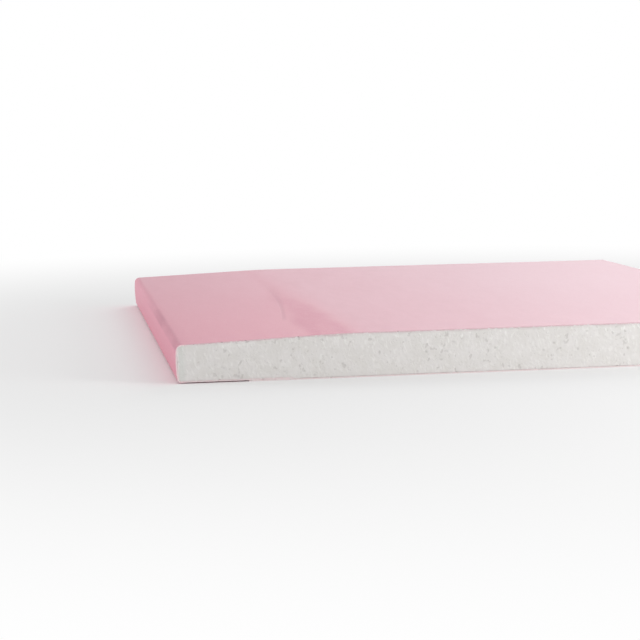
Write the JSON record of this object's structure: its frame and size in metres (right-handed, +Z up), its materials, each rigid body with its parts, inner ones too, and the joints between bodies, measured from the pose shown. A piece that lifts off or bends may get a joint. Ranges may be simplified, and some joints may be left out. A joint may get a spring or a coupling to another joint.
{
  "type": "drywall sheet sample",
  "caption": "Cut piece of fire-resistant drywall sheet: gypsum core between pink papers, with a tapered, paper-wrapped factory edge and sawn other sides.",
  "frame": {"origin": "bottom centre of the piece, in the plane of the back paper's underside", "axes": "+Z up through the thickness, towards the face; +Y along the factory edge; -X towards the tapered factory edge"},
  "size_m": [0.186, 0.2, 0.0125],
  "materials": {
    "gypsum": "sawn, matte, with fine pores",
    "face_paper": "calendered, with a slight satin gloss",
    "back_paper": "matte"
  },
  "bodies": {
    "root": {"gypsum_core": "gypsum", "face_paper": "face_paper", "back_paper": "back_paper"}
  },
  "joints": []
}
